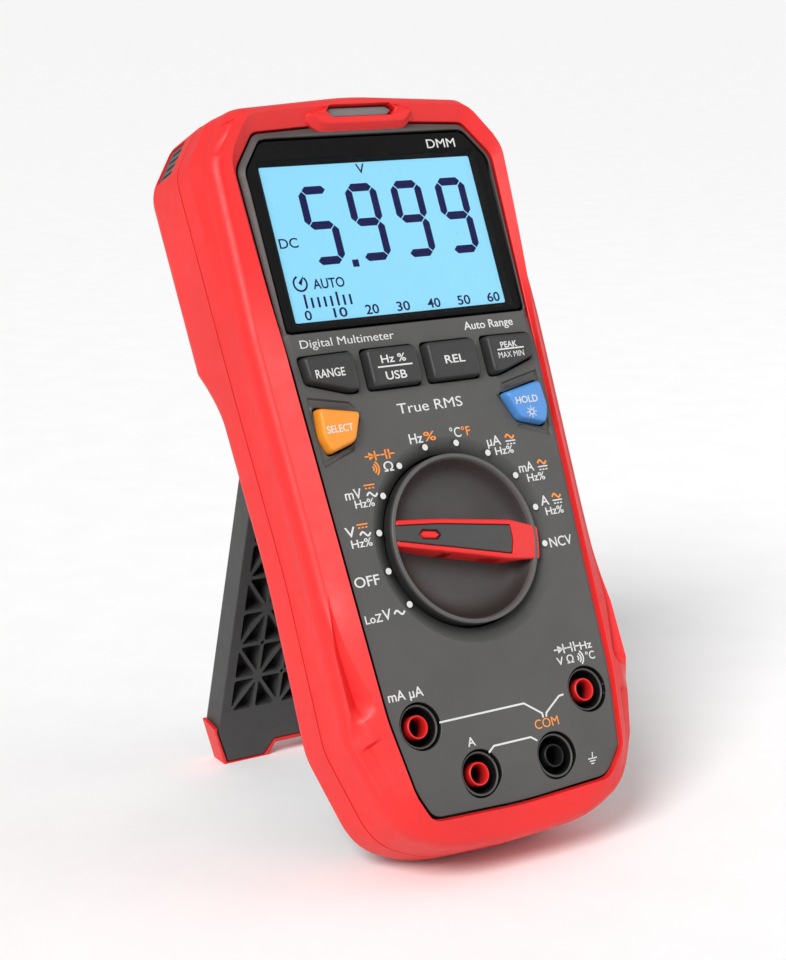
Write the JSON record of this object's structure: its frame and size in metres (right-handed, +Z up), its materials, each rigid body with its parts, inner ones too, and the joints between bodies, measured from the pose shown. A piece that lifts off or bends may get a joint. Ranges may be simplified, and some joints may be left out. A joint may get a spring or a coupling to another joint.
{
  "type": "bench multimeter",
  "caption": "Handheld digital multimeter leaning back on its fold-out tilt stand, with a rotary range dial, push keys, a large display and shrouded test-lead jacks.",
  "frame": {"origin": "middle of the footprint, on the surface that the lower case edge and the stand rest on", "axes": "+Z up; +X to the right of someone facing the display; the face looks towards -Y, leaning back 25 degrees"},
  "size_m": [0.0882, 0.1094, 0.175],
  "materials": {
    "soft_red": "satin overmould",
    "panel_grey": "satin",
    "shell_grey": "matte",
    "key_charcoal": "satin",
    "key_orange": "satin",
    "key_blue": "satin",
    "window": "clear, with a printed border",
    "display_blue": "backlit",
    "white_plastic": "satin",
    "rubber_grey": "matte",
    "gloss_black": "gloss",
    "board_green": "solder mask",
    "brass": "plated",
    "steel": "plain",
    "ceramic": "glazed",
    "cell_jacket": "printed film"
  },
  "bodies": {
    "case": {"front_shell": "panel_grey", "front_overmould": "soft_red", "field_sensor_window": "rubber_grey", "rear_shell": "shell_grey", "rear_overmould": "soft_red", "vent_insert_left": "shell_grey", "vent_insert_right": "shell_grey", "battery_cover": "shell_grey", "battery_cover_screw": "steel", "display_window": "window", "lcd_panel": "display_blue", "lcd_frame": "white_plastic", "backlight_panel": "white_plastic", "keypad_mat": "rubber_grey", "jack_collar_milliamp": "soft_red", "jack_collar_amp": "soft_red", "jack_collar_common": "gloss_black", "jack_collar_volt": "soft_red", "jack_socket_milliamp": "brass", "jack_socket_amp": "brass", "jack_socket_common": "brass", "jack_socket_volt": "brass", "main_board": "board_green", "fuse_milliamp": "ceramic", "fuse_milliamp_clip": "brass", "fuse_amp": "ceramic", "fuse_amp_clip": "brass", "buzzer": "gloss_black", "field_antenna": "brass", "battery_cell_1": "cell_jacket", "battery_cell_2": "cell_jacket", "battery_cell_3": "cell_jacket", "battery_cell_4": "cell_jacket", "battery_contact_low": "steel", "battery_contact_high": "steel", "case_screw_1": "steel", "case_screw_2": "steel", "case_screw_3": "steel", "case_screw_4": "steel", "hinge_pin_left": "steel", "hinge_pin_right": "steel"},
    "dial": {"dial_knob": "shell_grey", "dial_grip": "soft_red", "dial_insert": "shell_grey", "dial_pointer": "soft_red", "dial_rotor": "white_plastic", "detent_ball": "steel", "detent_spring": "steel", "contact_wiper": "brass"},
    "range_key": {"key_range": "key_charcoal"},
    "hertz_key": {"key_hertz": "key_charcoal"},
    "relative_key": {"key_relative": "key_charcoal"},
    "peak_key": {"key_peak": "key_charcoal"},
    "select_key": {"key_select": "key_orange"},
    "hold_key": {"key_hold": "key_blue"},
    "stand": {"tilt_stand": "shell_grey", "stand_tip": "soft_red"}
  },
  "joints": [
    {"name": "dial_turn", "type": "hinge", "parent": "case", "child": "dial", "pos_m": [0, -0.02838, 0.07509], "axis": [0, 0.9063, -0.4226], "range_deg": [-45, 180]},
    {"name": "stand_fold", "type": "hinge", "parent": "case", "child": "stand", "pos_m": [0, 0.02495, 0.09954], "axis": [-1, 0, 0], "range_deg": [0, 39.8]},
    {"name": "range_key_press", "type": "slide", "parent": "case", "child": "range_key", "axis": [0, 0.9063, -0.4226], "range_m": [0, 0.0008], "stiffness_N_per_m": 1200, "springref_m": -0.0004},
    {"name": "hertz_key_press", "type": "slide", "parent": "case", "child": "hertz_key", "axis": [0, 0.9063, -0.4226], "range_m": [0, 0.0008], "stiffness_N_per_m": 1200, "springref_m": -0.0004},
    {"name": "relative_key_press", "type": "slide", "parent": "case", "child": "relative_key", "axis": [0, 0.9063, -0.4226], "range_m": [0, 0.0008], "stiffness_N_per_m": 1200, "springref_m": -0.0004},
    {"name": "peak_key_press", "type": "slide", "parent": "case", "child": "peak_key", "axis": [0, 0.9063, -0.4226], "range_m": [0, 0.0008], "stiffness_N_per_m": 1200, "springref_m": -0.0004},
    {"name": "select_key_press", "type": "slide", "parent": "case", "child": "select_key", "axis": [0, 0.9063, -0.4226], "range_m": [0, 0.0008], "stiffness_N_per_m": 1200, "springref_m": -0.0004},
    {"name": "hold_key_press", "type": "slide", "parent": "case", "child": "hold_key", "axis": [0, 0.9063, -0.4226], "range_m": [0, 0.0008], "stiffness_N_per_m": 1200, "springref_m": -0.0004}
  ]
}
